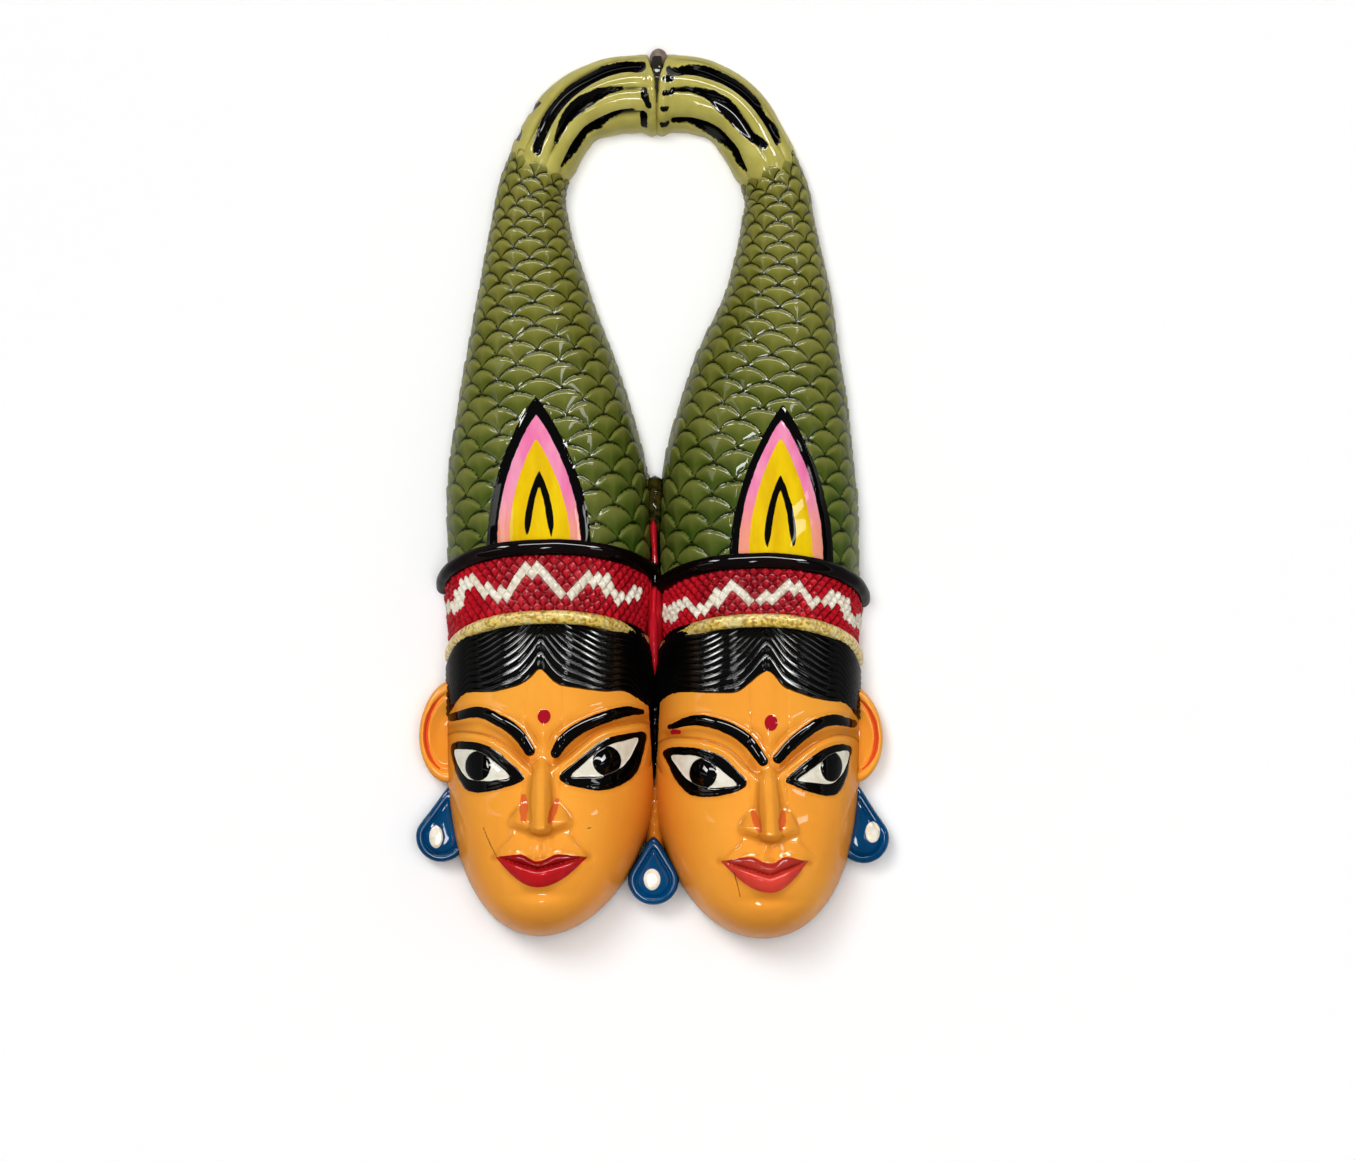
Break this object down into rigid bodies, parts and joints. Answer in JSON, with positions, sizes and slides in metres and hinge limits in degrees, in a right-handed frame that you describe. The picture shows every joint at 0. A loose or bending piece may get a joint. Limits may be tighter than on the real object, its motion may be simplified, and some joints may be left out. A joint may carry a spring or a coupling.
{
  "type": "gomira mask",
  "caption": "Carved wooden folk mask: twin painted faces whose crowns rise into scaled fish bodies joined tail to tail in an open arch.",
  "frame": {"origin": "centre of the bounding box on the flat back, which lies on the surface under it", "axes": "+Z out of the faces, +Y from the chins towards the tails, +X to the viewer's right"},
  "size_m": [0.2024, 0.3809, 0.0887],
  "materials": {
    "painted_wood": "carved wood under glossy enamel paint",
    "skin_enamel": "glossy orange enamel with red lips and black and white eyes",
    "hair_enamel": "glossy black enamel over combed grooves",
    "scale_enamel": "glossy olive green enamel over carved scales",
    "tail_enamel": "glossy khaki enamel with black strokes",
    "band_enamel": "glossy red enamel with a white zigzag over carved diamonds",
    "roll_enamel": "glossy maroon black enamel",
    "gold_paint": "hammered gold paint",
    "blue_enamel": "glossy blue enamel with a white oval",
    "bare_wood": "bare carved wood"
  },
  "bodies": {
    "root": {"mask": "painted_wood"}
  },
  "joints": []
}
